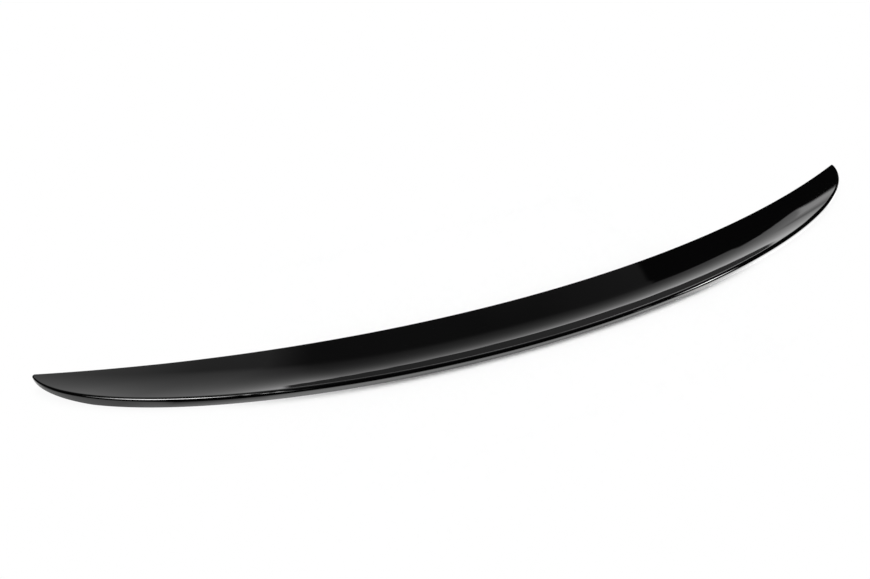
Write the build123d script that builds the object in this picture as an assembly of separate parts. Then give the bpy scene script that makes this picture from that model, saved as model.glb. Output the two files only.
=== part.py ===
from build123d import *
import math
import os

# A rear boot-lip spoiler: one moulded plastic crescent that is glued along the back edge of a boot lid.
# Millimetres. X runs along the span, -Y points to the rear, Z is up. The part lies as it does on a table:
# the foot of the rear wall is in the plane Z = 0, and the origin is the bottom centre of its bounding box.

# Plan outline
SPAN = 1200.0            # tip to tip
DEPTH = 180.0            # from the tips back to the middle of the rear edge
LEAD_SWEEP = 104.0       # how far the middle of the front edge lies behind the tips
END_FULLNESS = 1.26      # shape of the rear edge near the tips: 1 is an ellipse, 2 a parabola

# Heights above the table
LEAD_HEIGHT = 15.1       # top of the front edge, at the middle
TIP_HEIGHT = 15.3        # top of both tips

# Section
SKIN_SLOPE = 0.262       # fall of the flat front part towards the rear, at the middle
TIP_SKIN_SLOPE = 0.116   # the same at the tips
UNDER_SLOPE = 0.26       # fall of the glued underside towards the rear
SKIN = 3.4               # thickness of the front edge, at the middle
TIP_SKIN = 5.3           # the same at the tips
FLAT_SHARE = 0.446       # flat share of the chord before it curves up, at the middle; none at the tips
RAMP_SHARE = 0.796       # share of the chord from which the lip runs straight on
LIP_HEIGHT = 14.7        # rise of the lip above the line of the flat part
CREST_RADIUS = 3.8
FOOT_RADIUS = 1.0
LEAD_RADIUS = 1.0
TIP_RADIUS = 3.0         # rounding of the tips, seen from above
TIP_TURN = 80.0          # degrees that the rounding turns through before it meets the rear edge

# Hollow under the lip
WALL = 2.8               # skin over the hollow
REAR_WALL = 4.0
FRONT_LAND = 34.0        # width of the glued strip behind the front edge
HOLLOW_REACH = 0.84      # share of the half span that the hollow takes up
HOLLOW_CORNER = 3.0
RIB = 2.0
RIB_SPACING = 78.0
RIB_GAP = 1.0            # the ribs stop this far short of the table plane

# Fineness of the free-form faces
EDGE_POINTS = 33
FACE_STATIONS = 25
FACE_ROWS = 21
FACE_TOLERANCE = 0.01    # how closely the faces follow their points
FACE_MARGIN = 9.0        # the cutting faces reach this far past the outline
HEADROOM = 30.0          # taller than anything on the part

HALF = SPAN / 2
CHORD = DEPTH - LEAD_SWEEP
LEAD_ARC = (HALF**2 + LEAD_SWEEP**2) / (2 * LEAD_SWEEP)
TIP_Y = DEPTH / 2
ARC_Y = TIP_Y - LEAD_SWEEP + LEAD_ARC


def between(middle, tip, share):
    """Value that runs from the middle of the part to its tip."""
    return middle + (tip - middle) * share**2


def rear_edge(share, inset=0.0):
    """Plan point of the rear edge, or of a line set in from it, at a share of the half span."""
    end = math.sqrt(1 - share**2)
    rise = DEPTH * END_FULLNESS * end ** (END_FULLNESS - 2) * share / HALF
    length = math.hypot(1, rise)
    x = HALF * share - inset * rise / length
    y = TIP_Y - DEPTH * end**END_FULLNESS + inset / length
    return x, y


def arc_point(behind, angle):
    """Plan point at a distance behind the front edge."""
    radius = LEAD_ARC + behind
    return radius * math.sin(angle), ARC_Y - radius * math.cos(angle)


def top_height(x, behind):
    """Height of the top: a flat skin that curves up into a straight lip."""
    share = min(abs(x) / HALF, 1)
    lead = between(LEAD_HEIGHT, TIP_HEIGHT, share)
    slope = between(SKIN_SLOPE, TIP_SKIN_SLOPE, share)
    flat = between(FLAT_SHARE, 0, share)
    along = behind / CHORD
    run_up = max(along - flat, 0) ** 2 - max(along - RAMP_SHARE, 0) ** 2
    full_run_up = (RAMP_SHARE - flat) * (2 - flat - RAMP_SHARE)
    return lead - slope * behind + LIP_HEIGHT * run_up / full_run_up


def under_height(x, behind):
    """Height of the glued underside of the flat skin."""
    lead = between(LEAD_HEIGHT - SKIN, TIP_HEIGHT - TIP_SKIN, x / HALF)
    return lead - UNDER_SLOPE * behind


def free_face(height, drop=0.0):
    """Smooth face through a height rule, wider than the part on every side."""
    reach = math.asin(HALF / LEAD_ARC) + FACE_MARGIN / LEAD_ARC
    first = -FACE_MARGIN
    last = CHORD + FACE_MARGIN
    rows = []
    for station in range(FACE_STATIONS):
        angle = reach * (2 * station / (FACE_STATIONS - 1) - 1)
        row = []
        for step in range(FACE_ROWS):
            behind = first + (last - first) * step / (FACE_ROWS - 1)
            x, y = arc_point(behind, angle)
            row.append(Vector(x, y, height(x, behind) - drop))
        rows.append(row)
    return Face.make_surface_from_array_of_points(rows, tol=FACE_TOLERANCE)


def above(face):
    return Solid.extrude(face, Vector(0, 0, HEADROOM))


def below(face):
    return Solid.extrude(face, Vector(0, 0, -HEADROOM))


def rear_outline():
    """Plan area in front of the rear edge, up to the line that joins the tips."""
    left = (-HALF, TIP_Y)
    right = (HALF, TIP_Y)
    turns = [math.pi * (step / (EDGE_POINTS - 1) - 0.5) for step in range(1, EDGE_POINTS - 1)]
    edge = [left] + [rear_edge(math.sin(turn)) for turn in turns] + [right]
    return make_face([Spline(*edge), Line(right, left)])


def front_outline():
    """Plan area behind the front edge, which turns round at both tips."""
    lean = math.asin(HALF / LEAD_ARC)
    corner = math.pi / 2 - lean
    start = arc_point(0, lean - TIP_RADIUS / math.tan(corner / 2) / LEAD_ARC)
    turn = JernArc(start, (math.cos(lean), math.sin(lean)), TIP_RADIUS, -TIP_TURN)
    past = turn @ 1 + (turn % 1) * HEADROOM
    around = Polyline(turn @ 1, past, (HALF + HEADROOM, -DEPTH), (0, -DEPTH))
    half = Wire([turn.edge(), *around.edges()])
    front = ThreePointArc((-start[0], start[1]), arc_point(0, 0), start)
    return make_face([front, *half.edges(), *mirror(half, Plane.YZ).edges()])


def hollow_outline():
    """Plan of the hollow: set in from the rear wall, and back from the glued strip."""
    limit = math.asin(HOLLOW_REACH)
    turns = [limit * (2 * step / (EDGE_POINTS - 1) - 1) for step in range(EDGE_POINTS)]
    rear = Spline(*[rear_edge(math.sin(turn), REAR_WALL) for turn in turns])
    angle = math.asin((rear @ 1).X / LEAD_ARC)
    right = arc_point(FRONT_LAND, angle)
    left = arc_point(FRONT_LAND, -angle)
    front = ThreePointArc(right, arc_point(FRONT_LAND, 0), left)
    sides = [Line(rear @ 1, right), Line(left, rear @ 0)]
    face = make_face([rear, sides[0], front, sides[1]])
    return fillet(face.vertices(), HOLLOW_CORNER)


def ribs():
    """Cross plates of the hollow, square to the front edge."""
    pitch = RIB_SPACING / LEAD_ARC
    count = int(math.asin(HOLLOW_REACH * HALF / LEAD_ARC) / pitch)
    plate = Box(RIB, CHORD, HEADROOM, align=(Align.CENTER, Align.MAX, Align.MIN))
    plate = Pos(0, -LEAD_ARC, RIB_GAP) * plate
    turns = [math.degrees(pitch * step) for step in range(-count, count + 1)]
    return [Pos(0, ARC_Y, 0) * Rot(0, 0, turn) * plate for turn in turns]


def blade():
    """The moulding before it is hollowed: rounded at the lip and foot, then trimmed at the front edge."""
    block = extrude(rear_outline(), HEADROOM, dir=(0, 0, 1))
    body = block - above(free_face(top_height)) - below(free_face(under_height))
    wall = body.faces().filter_by(GeomType.EXTRUSION).sort_by(Axis.Y)[0]
    crest = wall.edges().sort_by(SortBy.LENGTH)[-1]
    body = body.solid().fillet(CREST_RADIUS, [crest])
    wall = body.faces().filter_by(GeomType.EXTRUSION).sort_by(Axis.Y)[0]
    foot = wall.edges().filter_by(lambda edge: edge.bounding_box().min.Z < FOOT_RADIUS)
    body = body.fillet(FOOT_RADIUS, foot)
    body = body & extrude(front_outline(), HEADROOM, dir=(0, 0, 1))
    front = body.faces().filter_by(GeomType.CYLINDER).sort_by(SortBy.AREA)[-1]
    return body.fillet(LEAD_RADIUS, [front.edges().sort_by(Axis.Z)[-1]])


def spoiler():
    """One hollow moulding, set down with the origin under the middle of its bounding box."""
    hollow = extrude(hollow_outline(), HEADROOM, dir=(0, 0, 1)) - above(free_face(top_height, WALL))
    body = blade() - (hollow - ribs())
    return Pos(0, -body.bounding_box().center().Y, 0) * body


os.makedirs("parts", exist_ok=True)
export_step(spoiler(), "parts/spoiler_blade.step")
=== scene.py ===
import math

import bmesh
import bpy
from mathutils import Matrix, Vector


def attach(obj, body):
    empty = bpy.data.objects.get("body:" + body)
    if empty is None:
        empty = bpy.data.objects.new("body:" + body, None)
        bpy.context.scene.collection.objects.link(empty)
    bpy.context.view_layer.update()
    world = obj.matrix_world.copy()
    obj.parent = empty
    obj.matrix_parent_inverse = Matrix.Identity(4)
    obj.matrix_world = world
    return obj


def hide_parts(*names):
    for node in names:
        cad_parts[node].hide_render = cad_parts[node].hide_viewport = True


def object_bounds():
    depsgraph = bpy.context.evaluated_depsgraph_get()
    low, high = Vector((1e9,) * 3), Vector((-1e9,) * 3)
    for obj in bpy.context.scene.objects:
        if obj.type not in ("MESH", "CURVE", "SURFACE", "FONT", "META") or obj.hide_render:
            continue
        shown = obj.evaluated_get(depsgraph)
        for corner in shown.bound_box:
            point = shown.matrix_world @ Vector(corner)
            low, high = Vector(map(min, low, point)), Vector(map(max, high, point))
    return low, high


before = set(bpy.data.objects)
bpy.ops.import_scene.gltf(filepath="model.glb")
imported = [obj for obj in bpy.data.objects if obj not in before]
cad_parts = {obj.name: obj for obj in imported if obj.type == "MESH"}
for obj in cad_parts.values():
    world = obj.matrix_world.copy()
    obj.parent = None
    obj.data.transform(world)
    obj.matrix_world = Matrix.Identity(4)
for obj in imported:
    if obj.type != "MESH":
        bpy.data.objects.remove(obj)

cad_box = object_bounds()

# The moulding: the whole spoiler, one crescent of black plastic from an injection mould.
# Its flat front skin sweeps up into a lip along the rear edge, which is hollow below and has cross ribs.
# It leaves the mould glossy on top and plain below. The strip under its front edge is glued to the car.
MOULDING_DEPTH = 0.18
TIP_LINE = cad_box[0][1] + MOULDING_DEPTH
HOLLOW_REACH = 0.84
MOULDING_SIZES = {
    "Half span": 0.6,
    "Depth": MOULDING_DEPTH,
    "Front sweep": 0.104,
    "End fullness": 1.26,
    "Front height": 0.0151,
    "Tip height": 0.0153,
    "Lip height": 0.0147,
    "Skin slope": 0.262,
    "Tip skin slope": 0.116,
    "Under slope": 0.26,
    "Skin": 0.0034,
    "Tip skin": 0.0053,
    "Flat share": 0.446,
    "Ramp share": 0.796,
    "Crest radius": 0.0038,
    "Foot radius": 0.002,
    "Front radius": 0.001,
    "Tip crest radius": 0.0018,
    "Taper turn": math.radians(50),
    "Tip turn": math.radians(87),
    "End turn": math.radians(89.97),
    "Wall": 0.0028,
    "Rear wall": 0.004,
    "Glued strip": 0.034,
    "Hollow turn": math.asin(HOLLOW_REACH),
    "Rib": 0.002,
    "Rib spacing": 0.078,
    "Rib gap": 0.001,
    "Tip line": TIP_LINE,
}

moulding_tree = bpy.data.node_groups.new("spoiler moulding", "GeometryNodeTree")
moulding_tree.interface.new_socket(name="Geometry", in_out="OUTPUT", socket_type="NodeSocketGeometry")
moulding_inputs = {}
for name, value in MOULDING_SIZES.items():
    socket = moulding_tree.interface.new_socket(name=name, in_out="INPUT", socket_type="NodeSocketFloat")
    socket.default_value = value
    moulding_inputs[name] = socket.identifier


def node(tree, kind, **settings):
    made = tree.nodes.new(kind)
    for name, value in settings.items():
        setattr(made, name, value)
    return made


class Rule:
    """A number in a node tree, so that the rule of a shape or a finish is written as plain sums."""

    def __init__(self, tree, socket):
        self.tree = tree
        self.socket = socket

    def math(self, operation, *terms, clamp=False):
        made = node(self.tree, "ShaderNodeMath", operation=operation, use_clamp=clamp)
        for slot, term in zip(made.inputs, terms):
            if isinstance(term, Rule):
                self.tree.links.new(term.socket, slot)
            else:
                slot.default_value = term
        return Rule(self.tree, made.outputs[0])

    def __add__(self, other):
        return self.math("ADD", self, other)

    def __radd__(self, other):
        return self.math("ADD", other, self)

    def __sub__(self, other):
        return self.math("SUBTRACT", self, other)

    def __rsub__(self, other):
        return self.math("SUBTRACT", other, self)

    def __mul__(self, other):
        return self.math("MULTIPLY", self, other)

    def __rmul__(self, other):
        return self.math("MULTIPLY", other, self)

    def __truediv__(self, other):
        return self.math("DIVIDE", self, other)

    def __rtruediv__(self, other):
        return self.math("DIVIDE", other, self)

    def __pow__(self, other):
        return self.math("POWER", self, other)

    def __abs__(self):
        return self.math("ABSOLUTE", self)

    def sign(self):
        return self.math("SIGN", self)

    def root(self):
        return self.math("SQRT", self)

    def sine(self):
        return self.math("SINE", self)

    def cosine(self):
        return self.math("COSINE", self)

    def arcsine(self):
        return self.math("ARCSINE", self)

    def arctangent(self):
        return self.math("ARCTANGENT", self)

    def rounded(self):
        return self.math("ROUND", self)

    def most(self, other):
        return self.math("MAXIMUM", self, other)

    def least(self, other):
        return self.math("MINIMUM", self, other)

    def below(self, other):
        """1 where this is less than the other, 0 elsewhere."""
        return self.math("LESS_THAN", self, other)

    def ramp(self, start, end):
        """0 up to start, 1 from end on, straight between them."""
        return self.math("DIVIDE", self - start, end - start, clamp=True)

    def mix(self, other, share):
        return self + (other - self) * share


def parts_of(tree, vector):
    split = node(tree, "ShaderNodeSeparateXYZ")
    tree.links.new(vector, split.inputs[0])
    return [Rule(tree, socket) for socket in split.outputs]


def joined(tree, x, y, z):
    join = node(tree, "ShaderNodeCombineXYZ")
    for slot, term in zip(join.inputs, (x, y, z)):
        tree.links.new(term.socket, slot)
    return join.outputs[0]


moulding_start = node(moulding_tree, "NodeGroupInput")
size = {name: Rule(moulding_tree, moulding_start.outputs[name]) for name in MOULDING_SIZES}
front_arc = (size["Half span"] ** 2 + size["Front sweep"] ** 2) / (2 * size["Front sweep"])
arc_middle = size["Tip line"] - size["Front sweep"] + front_arc
full_chord = size["Depth"] - size["Front sweep"]


def to_tip(middle, tip, x):
    """A size that runs from the middle of the part to its tips."""
    return size[middle] + (size[tip] - size[middle]) * (x / size["Half span"]) ** 2


def behind_front(x, y):
    """How far a plan point lies behind the front edge."""
    return (x ** 2 + (y - arc_middle) ** 2).root() - front_arc


def top_height(x, y):
    """The flat skin, which sweeps up into the lip."""
    behind = behind_front(x, y)
    front = to_tip("Front height", "Tip height", x)
    slope = to_tip("Skin slope", "Tip skin slope", x)
    flat = size["Flat share"] * (1 - (x / size["Half span"]) ** 2)
    ramp = size["Ramp share"]
    share = behind / full_chord
    run_up = (share - flat).most(0) ** 2 - (share - ramp).most(0) ** 2
    return front - slope * behind + size["Lip height"] * run_up / ((ramp - flat) * (2 - flat - ramp))


def under_height(x, y):
    """The glued underside of the flat skin."""
    edge = to_tip("Front height", "Tip height", x) - to_tip("Skin", "Tip skin", x)
    return edge - size["Under slope"] * behind_front(x, y)


class Section:
    """One cut square to the rear edge: where it starts, which way it runs, and how long it is."""

    def __init__(self, turn, side):
        end = turn.cosine()
        across = turn.sine() * side
        fullness = size["End fullness"]
        rise = size["Depth"] * fullness * end ** (fullness - 2) * across / size["Half span"]
        length = (1 + rise ** 2).root()
        self.x = size["Half span"] * across
        self.y = size["Tip line"] - size["Depth"] * end ** fullness
        self.run_x = -1 * rise / length
        self.run_y = 1 / length
        from_middle = self.y - arc_middle
        towards = self.x * self.run_x + from_middle * self.run_y
        outside = self.x ** 2 + from_middle ** 2 - front_arc ** 2
        self.chord = -1 * towards - (towards ** 2 - outside).root()

    def point(self, inset, aside=0):
        x = self.x + self.run_x * inset + self.run_y * aside
        y = self.y + self.run_y * inset - self.run_x * aside
        return x, y


def rolled(distance, radius):
    """How far a rounded edge lies below its corner."""
    left = (radius - distance).most(0)
    return radius - (radius ** 2 - left ** 2).most(0).root()


# Both skins start as flat grids: columns run along the span, and rows from the rear edge to the front.
MOULDING_COLUMNS = 401
MOULDING_ROWS = 81
GRID_SPAN = 2
GRID_DEPTH = 1
COLUMN = GRID_SPAN / (MOULDING_COLUMNS - 1)


def skin_grid():
    """A flat grid round the origin, for one skin."""
    grid = node(moulding_tree, "GeometryNodeMeshGrid")
    grid.inputs["Size X"].default_value = GRID_SPAN
    grid.inputs["Size Y"].default_value = GRID_DEPTH
    grid.inputs["Vertices X"].default_value = MOULDING_COLUMNS
    grid.inputs["Vertices Y"].default_value = MOULDING_ROWS
    return grid.outputs["Mesh"]


def placed(mesh, position, selection=None):
    """The mesh with its points moved to where their rule says."""
    move = node(moulding_tree, "GeometryNodeSetPosition")
    moulding_tree.links.new(mesh, move.inputs["Geometry"])
    moulding_tree.links.new(position, move.inputs["Position"])
    if selection:
        moulding_tree.links.new(selection, move.inputs["Selection"])
    return move.outputs["Geometry"]


def kept(mesh, name, value):
    """The mesh with a number stored on its points."""
    store = node(moulding_tree, "GeometryNodeStoreNamedAttribute", data_type="FLOAT", domain="POINT")
    store.inputs["Name"].default_value = name
    moulding_tree.links.new(mesh, store.inputs["Geometry"])
    if isinstance(value, Rule):
        moulding_tree.links.new(value.socket, store.inputs["Value"])
    else:
        store.inputs["Value"].default_value = value
    return store.outputs["Geometry"]


# The hollow ends in a wall one column step long, and the last columns close in on the tip.
HOLLOW_COLUMN = 0.78
HOLLOW_END_COLUMN = HOLLOW_COLUMN + COLUMN
HOLLOW_END_TURN = 0.0002
END_COLUMN = 0.94
POLE = 0.9999
RIM = 0.001
QUARTER_TURN = math.pi / 2

here = node(moulding_tree, "GeometryNodeInputPosition").outputs[0]
along, across, up = parts_of(moulding_tree, here)
across = across + GRID_DEPTH / 2
out = abs(along)
side = along.sign()
end_rows = out.ramp(END_COLUMN, 1)
turn = (
    size["Hollow turn"] * out.ramp(0, HOLLOW_COLUMN)
    + HOLLOW_END_TURN * out.ramp(HOLLOW_COLUMN, HOLLOW_END_COLUMN)
    + (size["Tip turn"] - size["Hollow turn"] - HOLLOW_END_TURN) * out.ramp(HOLLOW_END_COLUMN, END_COLUMN)
    + (size["End turn"] - size["Tip turn"]) * end_rows
)
cut = Section(turn, side)
rim = across.below(RIM).most(1 - across.below(1 - RIM)).most(1 - out.below(POLE))

# Each tip is rounded by a circle that touches the rear edge and the front edge.
ROOM_STEPS = 4

tip_cut = Section(size["Tip turn"], 1)
tip_behind = behind_front(tip_cut.x, tip_cut.y)
tip_radius = tip_behind * tip_cut.chord / (tip_behind + tip_cut.chord)
tip_error = behind_front(*tip_cut.point(tip_radius)) - tip_radius
tip_radius = tip_radius + tip_error * tip_cut.chord / (tip_behind + tip_cut.chord)
tip_x, tip_y = tip_cut.point(tip_radius)
tip_lean = (tip_x / (front_arc + tip_radius)).arcsine()


def rear_room(forward):
    """How far the rear edge lies outside the circle's middle, at a distance in front of that middle."""
    behind_tip = (size["Tip line"] - tip_y - forward).most(0) / size["Depth"]
    return size["Half span"] * (1 - behind_tip ** (2 / size["End fullness"])).root() - tip_x


class SkinPoint:
    """Plan point of a section, pulled in where the tip is rounded."""

    def __init__(self, inset):
        inset = inset * out.below(POLE)
        x, y = cut.point(inset)
        out_x = abs(x) - tip_x
        out_y = y - tip_y
        reach = (out_x ** 2 + out_y ** 2).root()
        outward = out_x / reach
        forward = out_y / reach
        room = tip_radius
        for _ in range(ROOM_STEPS):
            room = rear_room(room * forward / outward)
        at_front = forward * tip_lean.cosine() - outward * tip_lean.sine()
        at_rear = outward * tip_radius / room
        past_front = (-1 * out_x * tip_lean.cosine() - out_y * tip_lean.sine()).below(0)
        self.in_tip = past_front * size["Tip turn"].below(turn)
        pull = 1 - self.in_tip * (1 - at_front.most(at_rear).least(1))
        self.inside = inset.mix((tip_radius - reach * pull).most(0) * (1 - rim), self.in_tip)
        self.around = (1 - at_front) / (1 + tip_lean.sine())
        self.share = inset / cut.chord
        self.x = side * (tip_x + out_x * pull)
        self.y = tip_y + out_y * pull
        self.behind = behind_front(self.x, self.y).most(0) * (1 - rim * self.share)


# The top skin: the rolled crest comes first, then the flat rows, then the rolled front edge.
CREST_END_ROW = 0.2
FLAT_END_ROW = 0.95
CREST_NEAR = 1.2
CREST_FAR = 1.6
FRONT_ROOM = 1.2

crest_taper = turn.ramp(size["Taper turn"], size["Tip turn"])
crest = size["Crest radius"].mix(size["Tip crest radius"], crest_taper)
near = cut.point(crest * CREST_NEAR)
far = cut.point(crest * CREST_FAR)
lean = ((top_height(*near) - top_height(*far)) / (crest * (CREST_FAR - CREST_NEAR))).arctangent()
crest_run = crest * (1 + lean.sine())
crest_core = top_height(*cut.point(crest_run)) - crest * lean.cosine()
crest_rows = crest * (1 - ((QUARTER_TURN + lean) * across.ramp(0, CREST_END_ROW)).cosine())
front_room = size["Front radius"] * FRONT_ROOM
flat_rows = (cut.chord - crest_run - front_room) * across.ramp(CREST_END_ROW, FLAT_END_ROW)
front_rows = front_room * (across.ramp(FLAT_END_ROW, 1) * QUARTER_TURN).sine()
top_inset = crest_rows + flat_rows + front_rows
top_inset = top_inset.mix(cut.chord * across, end_rows)
top_point = SkinPoint(top_inset)
top_x = top_point.x
top_y = top_point.y
skin = top_height(top_x, top_y)
crest_side = crest_core + (crest ** 2 - (crest - top_point.inside) ** 2).most(0).root()
rear_z = skin.mix(crest_side, top_point.inside.below(crest_run))
front_z = skin - rolled(top_point.behind, size["Front radius"])
tip_z = (skin - rolled(top_point.inside, size["Front radius"])).mix(rear_z, top_point.around)
top_z = rear_z.least(front_z).mix(tip_z, top_point.in_tip)


def rear_foot(x):
    """Radius under the rear wall, which shrinks to that of the front edge at the tips."""
    return to_tip("Foot radius", "Front radius", x)


foot_z = under_height(top_x, top_y).most(0) + rear_foot(top_x).mix(size["Front radius"], top_point.share)
top = kept(skin_grid(), "foot", foot_z)
top = kept(top, "underside", 0)
top = placed(top, joined(moulding_tree, top_x, top_y, top_z))

# The walls all round drop from the rim of the top skin to the foot.
neighbours = node(moulding_tree, "GeometryNodeInputMeshEdgeNeighbors")
rim_edges = node(moulding_tree, "FunctionNodeCompare", data_type="INT", operation="EQUAL")
moulding_tree.links.new(neighbours.outputs[0], rim_edges.inputs[2])
rim_edges.inputs[3].default_value = 1
wall = node(moulding_tree, "GeometryNodeExtrudeMesh", mode="EDGES")
moulding_tree.links.new(top, wall.inputs["Mesh"])
moulding_tree.links.new(rim_edges.outputs[0], wall.inputs["Selection"])
wall.inputs["Offset Scale"].default_value = 0
wall_foot = node(moulding_tree, "GeometryNodeInputNamedAttribute", data_type="FLOAT")
wall_foot.inputs["Name"].default_value = "foot"
wall_foot = Rule(moulding_tree, wall_foot.outputs["Attribute"])
wall_place = joined(moulding_tree, along, across - GRID_DEPTH / 2, wall_foot)
walled = placed(wall.outputs["Mesh"], wall_place, wall.outputs["Top"])

# The underside: the rolled foot of the rear wall comes first, then the hollow, then the glued strip.
FOOT_ROLL_END_ROW = 0.1
FOOT_END_ROW = 0.1875
HOLLOW_ROW = 0.2
HOLLOW_END_ROW = 0.6
STRIP_ROW = 0.6125
STRIP_END_ROW = 0.95
REAR_WALL_SHARE = 0.3
STRIP_SHARE = 0.5
STEP = 0.00005

foot = rear_foot(cut.x)
front_foot = size["Front radius"]
rear_wall = size["Rear wall"].least(cut.chord * REAR_WALL_SHARE)
strip = size["Glued strip"].least(cut.chord * STRIP_SHARE)
foot_roll = foot * (1 - (across.ramp(0, FOOT_ROLL_END_ROW) * QUARTER_TURN).cosine())
foot_land = (rear_wall - foot) * across.ramp(FOOT_ROLL_END_ROW, FOOT_END_ROW)
hollow_rows = (cut.chord - rear_wall - strip - 2 * STEP) * across.ramp(HOLLOW_ROW, HOLLOW_END_ROW)
hollow_steps = STEP * across.ramp(FOOT_END_ROW, HOLLOW_ROW) + STEP * across.ramp(HOLLOW_END_ROW, STRIP_ROW)
strip_rows = (strip - front_foot) * across.ramp(STRIP_ROW, STRIP_END_ROW)
strip_roll = front_foot * (across.ramp(STRIP_END_ROW, 1) * QUARTER_TURN).sine()
low_inset = foot_roll + foot_land + hollow_rows + hollow_steps + strip_rows + strip_roll
low_inset = low_inset.mix(cut.chord * across, end_rows)
low_point = SkinPoint(low_inset)
low_x = low_point.x
low_y = low_point.y
low_z = under_height(low_x, low_y).most(0)
low_roll = rolled(low_inset, rear_foot(low_x)).most(rolled(low_point.behind, front_foot))
tip_roll = rolled(low_point.inside, rear_foot(low_x).mix(front_foot, low_point.share))
low_roll = low_roll.mix(tip_roll, low_point.in_tip)
past_foot = 1 - across.below((FOOT_END_ROW + HOLLOW_ROW) / 2)
before_strip = across.below((HOLLOW_END_ROW + STRIP_ROW) / 2)
hollow = past_foot * before_strip * out.below(HOLLOW_COLUMN + COLUMN / 2)
hollow_top = top_height(low_x, low_y) - size["Wall"]
low_z = (low_z + low_roll).mix(hollow_top, hollow)

low = kept(skin_grid(), "underside", 1)
low = placed(low, joined(moulding_tree, low_x, low_y, low_z))
turned = node(moulding_tree, "GeometryNodeFlipFaces")
moulding_tree.links.new(low, turned.inputs["Mesh"])

# The walls and the underside meet along the foot, where a seam of half a micrometre is closed.
SEAM = 0.0000005

shell = node(moulding_tree, "GeometryNodeJoinGeometry")
moulding_tree.links.new(walled, shell.inputs[0])
moulding_tree.links.new(turned.outputs[0], shell.inputs[0])
closed = node(moulding_tree, "GeometryNodeMergeByDistance")
moulding_tree.links.new(shell.outputs[0], closed.inputs["Geometry"])
closed.inputs["Distance"].default_value = SEAM

# The ribs are plates across the hollow, which reach a share of its walls' thickness into them.
RIBS_EACH_SIDE = 6
RIB_STEP = 2
RIB_BLOCK = 1
RIB_CUTS = 13
RIB_MIDDLE = 0.75
RIB_ROOT = 0.3

rib_line = node(moulding_tree, "GeometryNodeMeshLine")
rib_line.inputs["Count"].default_value = 2 * RIBS_EACH_SIDE + 1
rib_line.inputs["Start Location"].default_value = (-RIB_STEP * RIBS_EACH_SIDE, 0, 0)
rib_line.inputs["Offset"].default_value = (RIB_STEP, 0, 0)
rib_block = node(moulding_tree, "GeometryNodeMeshCube")
rib_block.inputs["Size"].default_value = (RIB_BLOCK, RIB_BLOCK, RIB_BLOCK)
rib_block.inputs["Vertices Y"].default_value = RIB_CUTS
ribs = node(moulding_tree, "GeometryNodeInstanceOnPoints")
moulding_tree.links.new(rib_line.outputs["Mesh"], ribs.inputs["Points"])
moulding_tree.links.new(rib_block.outputs["Mesh"], ribs.inputs["Instance"])
rib_mesh = node(moulding_tree, "GeometryNodeRealizeInstances")
moulding_tree.links.new(ribs.outputs[0], rib_mesh.inputs[0])
rib_number = (along / RIB_STEP).rounded()
rib_angle = rib_number * size["Rib spacing"] / front_arc
rib_turn = ((front_arc + RIB_MIDDLE * full_chord) * rib_angle.sine() / size["Half span"]).arcsine()
rib_cut = Section(rib_turn, 1)
rib_length = rib_cut.chord - size["Glued strip"] - (1 - 2 * RIB_ROOT) * size["Rear wall"]
rib_inset = (1 - RIB_ROOT) * size["Rear wall"] + across * rib_length
rib_x, rib_y = rib_cut.point(rib_inset, (along - RIB_STEP * rib_number) * size["Rib"])
rib_foot = under_height(rib_x, rib_y).most(size["Rib gap"])
rib_top = top_height(rib_x, rib_y) - (1 - RIB_ROOT) * size["Wall"]
rib_z = rib_foot.mix(rib_top, up + RIB_BLOCK / 2)
rib_mesh = placed(rib_mesh.outputs[0], joined(moulding_tree, rib_x, rib_y, rib_z))
rib_mesh = kept(rib_mesh, "underside", 1)

# Faces that meet at less than this angle are shaded smooth.
SHARP_EDGE = math.radians(32)

whole = node(moulding_tree, "GeometryNodeJoinGeometry")
moulding_tree.links.new(closed.outputs[0], whole.inputs[0])
moulding_tree.links.new(rib_mesh, whole.inputs[0])
edge_angle = node(moulding_tree, "GeometryNodeInputMeshEdgeAngle")
soft = Rule(moulding_tree, edge_angle.outputs["Unsigned Angle"]).below(SHARP_EDGE)
smooth = node(moulding_tree, "GeometryNodeSetShadeSmooth", domain="EDGE")
moulding_tree.links.new(whole.outputs[0], smooth.inputs["Geometry"])
moulding_tree.links.new(soft.socket, smooth.inputs["Shade Smooth"])

# The plastic: polished black on top, with a slight peel, sinks, haze and a few specks of dust.
# Below it is as the grained mould leaves it.
PLASTIC_IOR = 1.5
GLOSS_BLACK = 0.0014
GLOSS_BLACK_CHANGE = 0.0008
FLOW_PER_METRE = 7
BLUE_CAST = 1.05
GLOSS_ROUGHNESS = 0.024
GLOSS_HAZE = 0.014
HAZE_PER_METRE = 45
PEEL_DEPTH = 0.0000025
PEEL_PER_METRE = 420
SINK_DEPTH = 0.00003
SINK_PER_METRE = 16
DUST_PER_METRE = 60
DUST_SIZE = 0.011
DUST_CORE = 0.5
DUST_CHANCE = (0.6, 0.7)
DUST_GREY = 0.05
DUST_ROUGHNESS = 0.4
MOULD_BLACK = 0.011
MOULD_BLACK_LEAST = 0.7
MOULD_BLACK_CHANGE = 0.6
MOULD_ROUGHNESS = 0.4
MOULD_ROUGHNESS_CHANGE = 0.1
MOULD_PATCHES_PER_METRE = 30
MOULD_GRAIN_DEPTH = 0.00003
MOULD_GRAIN_PER_METRE = 1100
UNDERSIDE_EDGE = (0.4, 0.6)

gloss_black = bpy.data.materials.new("gloss_black_plastic")
gloss_black.use_nodes = True
paint = gloss_black.node_tree
plastic = paint.nodes["Principled BSDF"]
plastic.inputs["IOR"].default_value = PLASTIC_IOR
on_moulding = node(paint, "ShaderNodeTexCoord").outputs["Object"]


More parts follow.
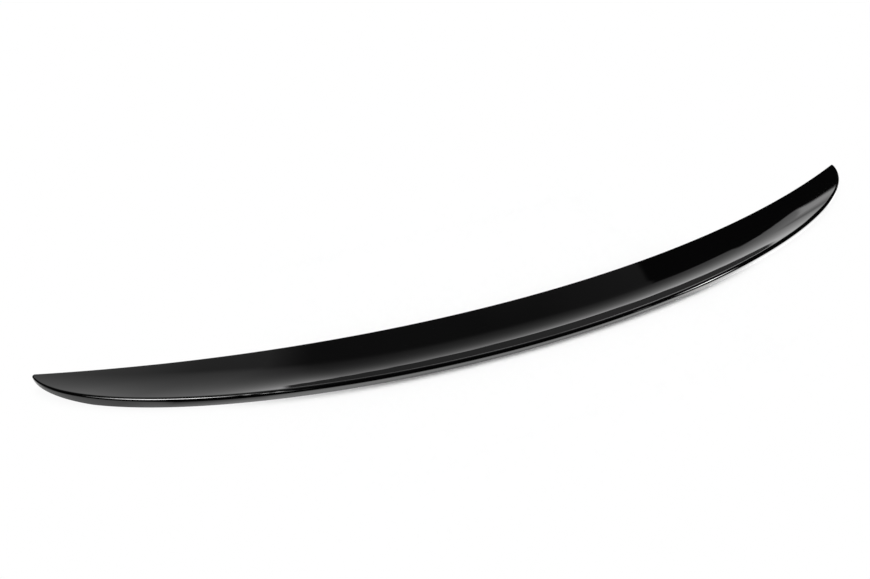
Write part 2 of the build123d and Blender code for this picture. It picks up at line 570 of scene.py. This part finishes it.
def grain(per_metre, detail=2):
    """Soft random pattern on the moulding, from 0 to 1, with a number of patches to the metre."""
    texture = node(paint, "ShaderNodeTexNoise")
    texture.inputs["Scale"].default_value = per_metre
    texture.inputs["Detail"].default_value = detail
    paint.links.new(on_moulding, texture.inputs["Vector"])
    return Rule(paint, texture.outputs["Fac"])


peel = grain(PEEL_PER_METRE)
sink = grain(SINK_PER_METRE, detail=0)
flow = grain(FLOW_PER_METRE, detail=4)
haze = grain(HAZE_PER_METRE, detail=3)
mould_grain = grain(MOULD_GRAIN_PER_METRE)
mould_patch = grain(MOULD_PATCHES_PER_METRE, detail=3)
dust = node(paint, "ShaderNodeTexVoronoi")
dust.inputs["Scale"].default_value = DUST_PER_METRE
paint.links.new(on_moulding, dust.inputs["Vector"])
dust_chance, dust_shade = parts_of(paint, dust.outputs["Color"])[:2]
speck = Rule(paint, dust.outputs["Distance"]).ramp(DUST_SIZE, DUST_CORE * DUST_SIZE)
speck = speck * dust_chance.ramp(*DUST_CHANCE)
below_side = node(paint, "ShaderNodeAttribute", attribute_type="GEOMETRY", attribute_name="underside")
below_side = Rule(paint, below_side.outputs["Fac"]).ramp(*UNDERSIDE_EDGE)

gloss_tone = GLOSS_BLACK + GLOSS_BLACK_CHANGE * flow + DUST_GREY * speck * dust_shade
mould_tone = MOULD_BLACK * (MOULD_BLACK_LEAST + MOULD_BLACK_CHANGE * mould_patch)
tone = gloss_tone.mix(mould_tone, below_side)
paint.links.new(joined(paint, tone, tone, tone * BLUE_CAST), plastic.inputs["Base Color"])
gloss_roughness = GLOSS_ROUGHNESS + GLOSS_HAZE * haze + DUST_ROUGHNESS * speck
mould_roughness = MOULD_ROUGHNESS + MOULD_ROUGHNESS_CHANGE * mould_patch
paint.links.new(gloss_roughness.mix(mould_roughness, below_side).socket, plastic.inputs["Roughness"])
gloss_relief = PEEL_DEPTH * peel + SINK_DEPTH * sink
relief = gloss_relief.mix(MOULD_GRAIN_DEPTH * mould_grain, below_side)
relief_bump = node(paint, "ShaderNodeBump")
relief_bump.inputs["Distance"].default_value = 1
paint.links.new(relief.socket, relief_bump.inputs["Height"])
paint.links.new(relief_bump.outputs["Normal"], plastic.inputs["Normal"])

realized = node(moulding_tree, "GeometryNodeRealizeInstances")
moulding_tree.links.new(smooth.outputs[0], realized.inputs[0])
dressed = node(moulding_tree, "GeometryNodeSetMaterial")
dressed.inputs["Material"].default_value = gloss_black
moulding_tree.links.new(realized.outputs[0], dressed.inputs["Geometry"])
moulding_end = node(moulding_tree, "NodeGroupOutput")
moulding_tree.links.new(dressed.outputs[0], moulding_end.inputs[0])

moulding = bpy.data.objects.new("spoiler_moulding", bpy.data.meshes.new("spoiler_moulding"))
bpy.context.scene.collection.objects.link(moulding)
moulder = moulding.modifiers.new("moulding", "NODES")
moulder.node_group = moulding_tree
for name, value in MOULDING_SIZES.items():
    moulder[moulding_inputs[name]] = value
evaluated = moulding.evaluated_get(bpy.context.evaluated_depsgraph_get())
moulding_mesh = bpy.data.meshes.new_from_object(evaluated)
moulding.modifiers.clear()
moulding.data = moulding_mesh
shape = bmesh.new()
shape.from_mesh(moulding_mesh)
bmesh.ops.recalc_face_normals(shape, faces=shape.faces)
shape.to_mesh(moulding_mesh)
shape.free()
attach(moulding, "root")
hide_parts("spoiler_blade")

# The floor: matt white studio paper that the spoiler lies on, and that takes its shadow.
# To the camera, a painted glow washes the paper out to white: nearly wholly at both ends, which hides the
# shadow there, and only a tenth round the middle, where the shadow stays.
# To glossy rays alone the paper glows with a painted light, brightest close behind the rear edge and in
# bright and dark stretches along it, and the gloss of the rear wall mirrors that painted glow.
FLOOR_REACH = 9
PAPER_WHITE = 0.9
PAPER_ROUGHNESS = 0.9
PAPER_GLOW_SHARE = 0.1
PAPER_GLOW_SHARE_AT_ENDS = 0.93
SHADOW_LEFT = (-0.42, -0.24)
SHADOW_RIGHT = (0.17, 0.3)
SHADOW_ACROSS = (0.2, 0.3)
PAPER_MIRRORED_GLOW = 4.2
PAPER_REACH = 0.05
PAPER_REACH_AT_ENDS = 0.011
MIDDLE_LEFT = (-0.38, -0.2)
MIDDLE_RIGHT = (0.12, 0.2)
LEFT_TIP = (-0.53, -0.47)
CONTACT_SHADE = 0.8
CONTACT_EDGE = (-0.001, 0.006)
MIRRORED_AT_LEFT_TIP = 0.26
MIRRORED_RISE = (-0.52, -0.4)
MIRRORED_SECOND_RISE = (0.15, 0.3)
MIRRORED_FALL = (0.3, 0.5)
MIRRORED_FALL_DEPTH = 1.5
UNDER_SPOILER = (-0.004, -0.02)

floor_corners = [(-1, -1), (1, -1), (1, 1), (-1, 1)]
floor_points = [(FLOOR_REACH * x, FLOOR_REACH * y, 0) for x, y in floor_corners]
floor_mesh = bpy.data.meshes.new("floor")
floor_mesh.from_pydata(floor_points, [], [(0, 1, 2, 3)])
floor = bpy.data.objects.new("floor", floor_mesh)
bpy.context.scene.collection.objects.link(floor)
white = bpy.data.materials.new("white_floor")
white.use_nodes = True
paper = white.node_tree
paper_face = paper.nodes["Principled BSDF"]
paper_face.inputs["Base Color"].default_value = (PAPER_WHITE, PAPER_WHITE, PAPER_WHITE, 1)
paper_face.inputs["Roughness"].default_value = PAPER_ROUGHNESS
paper_path = node(paper, "ShaderNodeLightPath")
paper_x, paper_y = parts_of(paper, node(paper, "ShaderNodeTexCoord").outputs["Object"])[:2]


def looked_at(tree, path):
    """1 for what the camera sees itself, or through glass."""
    camera_ray = Rule(tree, path.outputs["Is Camera Ray"])
    return camera_ray.most(Rule(tree, path.outputs["Is Transmission Ray"]))


# Painted light: the paper's own glow hides the shadow at both ends and leaves it round the middle.
shadow_span = paper_x.ramp(*SHADOW_LEFT) * (1 - paper_x.ramp(*SHADOW_RIGHT))
shadow_span = shadow_span * (1 - abs(paper_y).ramp(*SHADOW_ACROSS))
paper_glow_share = PAPER_GLOW_SHARE_AT_ENDS + (PAPER_GLOW_SHARE - PAPER_GLOW_SHARE_AT_ENDS) * shadow_span
paper_glow_share = paper_glow_share * looked_at(paper, paper_path)
paper_glow = node(paper, "ShaderNodeEmission")
paper_seen = node(paper, "ShaderNodeMixShader")
paper.links.new(paper_glow_share.socket, paper_seen.inputs["Fac"])
paper.links.new(paper_face.outputs[0], paper_seen.inputs[1])
paper.links.new(paper_glow.outputs[0], paper_seen.inputs[2])

half_share = paper_x / MOULDING_SIZES["Half span"]
edge_line = (1 - half_share ** 2).most(0) ** (MOULDING_SIZES["End fullness"] / 2)
behind_edge = TIP_LINE - MOULDING_DEPTH * edge_line - paper_y
paper_middle = paper_x.ramp(*MIDDLE_LEFT) * (1 - paper_x.ramp(*MIDDLE_RIGHT))
paper_far = paper_middle.most(1 - paper_x.ramp(*LEFT_TIP))
paper_reach = PAPER_REACH_AT_ENDS + (PAPER_REACH - PAPER_REACH_AT_ENDS) * paper_far
# Painted shade: the glow darkens along the contact line under the middle of the rear wall.
paper_contact_shade = 1 - CONTACT_SHADE * paper_middle * (1 - behind_edge.ramp(*CONTACT_EDGE))
paper_across = MIRRORED_AT_LEFT_TIP + (1 - MIRRORED_AT_LEFT_TIP) * paper_x.ramp(*MIRRORED_RISE)
paper_across = paper_across + paper_x.ramp(*MIRRORED_SECOND_RISE)
paper_across = paper_across - MIRRORED_FALL_DEPTH * paper_x.ramp(*MIRRORED_FALL)
# Painted light: the glow is strongest close behind the rear edge and fades out within its reach; under the
# spoiler it is plain white.
paper_near = (1 - behind_edge / paper_reach).most(0).least(1)
paper_glow_in_gloss = PAPER_MIRRORED_GLOW * paper_across * paper_contact_shade * paper_near
paper_glow_in_gloss = paper_glow_in_gloss.mix(1, behind_edge.ramp(*UNDER_SPOILER))
paper_glossy_glow = node(paper, "ShaderNodeEmission")
paper.links.new(paper_glow_in_gloss.socket, paper_glossy_glow.inputs["Strength"])
paper_mix = node(paper, "ShaderNodeMixShader")
paper.links.new(paper_path.outputs["Is Glossy Ray"], paper_mix.inputs["Fac"])
paper.links.new(paper_seen.outputs[0], paper_mix.inputs[1])
paper.links.new(paper_glossy_glow.outputs[0], paper_mix.inputs[2])
paper.links.new(paper_mix.outputs[0], paper.nodes["Material Output"].inputs["Surface"])
floor_mesh.materials.append(white)

# The key light: a broad soft lamp above and beyond the spoiler, so the shadow falls towards the camera.
# The gloss doesn't mirror it, because the lamps of the room show there instead.
KEY_STRENGTH = 2.45
KEY_BREADTH = math.radians(40)
KEY_TURN = (math.radians(-30), math.radians(4), 0)

key = bpy.data.objects.new("key_light", bpy.data.lights.new("key_light", "SUN"))
key.data.energy = KEY_STRENGTH
key.data.angle = KEY_BREADTH
key.rotation_euler = KEY_TURN
key.visible_glossy = False
bpy.context.scene.collection.objects.link(key)

# The room: plain white to the camera, and an even soft light on the spoiler and the floor.
# Only the gloss sees more: a bright wall beyond the spoiler, with a panel, a slit, a shelf and a doorway,
# and two lamps and two spots round the camera. Bearings and heights are angles in degrees.
AMBIENT = 0.45
IN_DEGREES = 180 / math.pi

world = bpy.data.worlds.new("studio")
world.use_nodes = True
bpy.context.scene.world = world
room = world.node_tree
background = room.nodes["Background"]
light_path = node(room, "ShaderNodeLightPath")
looking = node(room, "ShaderNodeTexCoord").outputs["Generated"]
look_x, look_y, look_z = parts_of(room, looking)
sees = looked_at(room, light_path)
mirrors = Rule(room, light_path.outputs["Is Glossy Ray"])
height = look_z.arcsine() * IN_DEGREES
bearing = look_x.math("ARCTAN2", look_x, look_y) * IN_DEGREES

WALL_FOOT = 20


def fading(light, fall):
    """Light on the wall behind, which gets weaker with height."""
    above = (WALL_FOOT - height) / fall
    return light * above.math("EXPONENT", above)


def between(value, low, high, soft):
    """1 between two angles, with soft edges."""
    return value.ramp(low - soft, low + soft) * (1 - value.ramp(high - soft, high + soft))


def bump(value, middle, width):
    """1 at an angle, and less the further away it is."""
    away = (value - middle) / width
    return away.math("EXPONENT", -1 * away ** 2)


LEFT_WALL = {"light": 4.36, "fall": 16.3}
LEFT_WALL_EDGE = (-8, -2)
MIDDLE_WALL = {"light": 1.8, "fall": 31}
MIDDLE_WALL_EDGE = (3, 12)
RIGHT_WALL = {"light": 3.15, "fall": 12.3}
RIGHT_DIP_SHADE = 0.33
RIGHT_DIP_START = (11, 14)
RIGHT_DIP_END = (19, 33)
RIGHT_END_SHADE = 0.28
RIGHT_END = (43, 51)
CORNER_SHADE = 0.6
CORNER_ACROSS = (52, 58)
CORNER_HEIGHT = (40, 46)
BRIGHTEST_WALL = 3
WALL_TOP = (56, 63)
WALL_TOP_SHADE = 0.4
WALL_TOP_SHADE_RIGHT = 0.45

left_wall = fading(**MIDDLE_WALL).mix(fading(**LEFT_WALL), 1 - bearing.ramp(*LEFT_WALL_EDGE))
right_dip = bearing.ramp(*RIGHT_DIP_START) * (1 - bearing.ramp(*RIGHT_DIP_END))
right_wall = fading(**RIGHT_WALL) * (1 - RIGHT_DIP_SHADE * right_dip)
right_wall = right_wall * (1 - RIGHT_END_SHADE * bearing.ramp(*RIGHT_END))
corner = bearing.ramp(*CORNER_ACROSS) * height.ramp(*CORNER_HEIGHT)
right_wall = right_wall * (1 - CORNER_SHADE * corner)
on_right = bearing.ramp(*MIDDLE_WALL_EDGE)
glow = left_wall.mix(right_wall, on_right).least(BRIGHTEST_WALL)
glow = glow * (1 - (WALL_TOP_SHADE + WALL_TOP_SHADE_RIGHT * on_right) * height.ramp(*WALL_TOP))

PANEL_LIGHT = 1.9
PANEL_ACROSS = {"low": 52, "high": 60, "soft": 0.5}
PANEL_SLOPE = 0.55
PANEL_EDGE = (-1, -0.6)
SLIT_SHADE = 0.45
SLIT_ACROSS = {"middle": 50.4, "width": 0.8}
SLIT_TOP = (26.5, 28.5)

panel = between(bearing, **PANEL_ACROSS) * (1 - (height - PANEL_SLOPE * bearing).ramp(*PANEL_EDGE))
slit = bump(bearing, **SLIT_ACROSS) * (1 - height.ramp(*SLIT_TOP))
glow = glow.mix(PANEL_LIGHT, panel) * (1 - SLIT_SHADE * slit)

SHELF_LIGHT = 0.17
SHELF_HEIGHT = 21.5
SHELF_DROP = 2.1
SHELF_DROP_ACROSS = (30, 38.5)
SHELF_EDGE = (-0.4, 0.4)
SHELF_ACROSS = {"low": 9.6, "high": 43.5, "soft": 0.3}
WALL_START = (-30, -24)
WALL_END = (75, 85)
CEILING_LIGHT = 0.05
CEILING_HEIGHT = (20, 50)
CEILING_ACROSS = (70, 90)

shelf = SHELF_HEIGHT - SHELF_DROP * bearing.ramp(*SHELF_DROP_ACROSS)
shaded = (1 - (height - shelf).ramp(*SHELF_EDGE)) * between(bearing, **SHELF_ACROSS)
glow = glow.mix(SHELF_LIGHT, shaded) * bearing.ramp(*WALL_START) * (1 - bearing.ramp(*WALL_END))
ceiling = CEILING_LIGHT * height.ramp(*CEILING_HEIGHT) * (1 - abs(bearing).ramp(*CEILING_ACROSS))

LINTEL_HEIGHT = 48.85
LINTEL_SLOPE = 0.41
LINTEL_BEARING = 65.4
LINTEL_EDGE = (-0.25, 0.25)
JAMB_BEARING = 55.8
JAMB_BULGE = 2
JAMB_BULGE_HEIGHT = {"middle": 34.3, "width": 1.4}
JAMB_NOTCH = 1.8
JAMB_NOTCH_HEIGHT = {"middle": 31.4, "width": 1.5}
JAMB_SLOPE = 0.55
JAMB_SLOPE_TOP = 29.5
JAMB_EDGE = (-0.4, 0.4)
DOORWAY_END = (95, 110)

lintel = LINTEL_HEIGHT + LINTEL_SLOPE * (bearing - LINTEL_BEARING)
jamb = JAMB_BEARING - JAMB_BULGE * bump(height, **JAMB_BULGE_HEIGHT)
jamb = jamb + JAMB_NOTCH * bump(height, **JAMB_NOTCH_HEIGHT)
jamb = jamb - JAMB_SLOPE * (JAMB_SLOPE_TOP - height).most(0)
doorway = (bearing - jamb).ramp(*JAMB_EDGE) * (1 - bearing.ramp(*DOORWAY_END))
doorway = doorway * (1 - (height - lintel).ramp(*LINTEL_EDGE))

LEFT_LAMP_LIGHT = 34
LEFT_LAMP_LEAN = 0.5
LEFT_LAMP_MIDDLE = 49
LEFT_LAMP_ACROSS = {"low": -130, "high": -114, "soft": 4}
LEFT_LAMP_HEIGHT = {"low": 38, "high": 69, "soft": 7}
RIGHT_LAMP_LIGHT = 48
RIGHT_LAMP_ACROSS = {"low": 121, "high": 137, "soft": 3}
RIGHT_LAMP_HEIGHT = {"low": 20, "high": 25, "soft": 1.5}
SPOT_LENGTH = 10
FIRST_SPOT = {"light": 14, "middle": 58, "lean": 0.9, "across": -147, "width": 1.2}
SECOND_SPOT = {"light": 10, "middle": 52, "lean": 0.3, "across": -156.2, "width": 1.4}


def spot(light, middle, lean, across, width):
    """A small leaning streak of light."""
    streak = bump(bearing - lean * (height - middle), across, width)
    return light * streak * bump(height, middle, SPOT_LENGTH)


left_lamp_lean = bearing + LEFT_LAMP_LEAN * (height - LEFT_LAMP_MIDDLE)
left_lamp = LEFT_LAMP_LIGHT * between(left_lamp_lean, **LEFT_LAMP_ACROSS)
left_lamp = left_lamp * between(height, **LEFT_LAMP_HEIGHT)
right_lamp = RIGHT_LAMP_LIGHT * between(bearing, **RIGHT_LAMP_ACROSS) * between(height, **RIGHT_LAMP_HEIGHT)
spots = spot(**FIRST_SPOT) + spot(**SECOND_SPOT)
backdrop = (glow + ceiling) * (1 - doorway) + left_lamp + right_lamp + spots
strength = AMBIENT + sees * (1 - AMBIENT)
strength = strength.mix(backdrop, mirrors)
room.links.new(strength.socket, background.inputs["Strength"])
background.inputs["Color"].default_value = (1, 1, 1, 1)

# The camera stands behind the spoiler's rear edge, off to its left, and looks down on it.
# Its place, turn and lens were fitted to the outline in the photograph, whose width is given in pixels.
CAMERA_PLACE = Vector((-0.42317, TIP_LINE - 0.69201, 0.5399))
CAMERA_YAW = math.radians(23.8465)
CAMERA_DIP = math.radians(36.489)
CAMERA_ROLL = math.radians(-0.57)
CAMERA_SENSOR = 36
CAMERA_REACH = 50
LENS_PIXELS = 700
PHOTO_PIXELS = 870

ahead = Vector((
    math.sin(CAMERA_YAW) * math.cos(CAMERA_DIP),
    math.cos(CAMERA_YAW) * math.cos(CAMERA_DIP),
    -math.sin(CAMERA_DIP),
))
level = Vector((math.cos(CAMERA_YAW), -math.sin(CAMERA_YAW), 0))
upward = level.cross(ahead)
right = level * math.cos(CAMERA_ROLL) + upward * math.sin(CAMERA_ROLL)
upward = upward * math.cos(CAMERA_ROLL) - level * math.sin(CAMERA_ROLL)
camera = bpy.data.objects.new("camera", bpy.data.cameras.new("camera"))
camera.data.sensor_width = CAMERA_SENSOR
camera.data.lens = CAMERA_SENSOR * LENS_PIXELS / PHOTO_PIXELS
camera.data.clip_end = CAMERA_REACH
turned_to = Matrix((right, upward, -ahead)).transposed().to_4x4()
camera.matrix_world = Matrix.Translation(CAMERA_PLACE) @ turned_to
bpy.context.scene.collection.objects.link(camera)
bpy.context.scene.camera = camera
bpy.context.scene.view_settings.view_transform = "Standard"
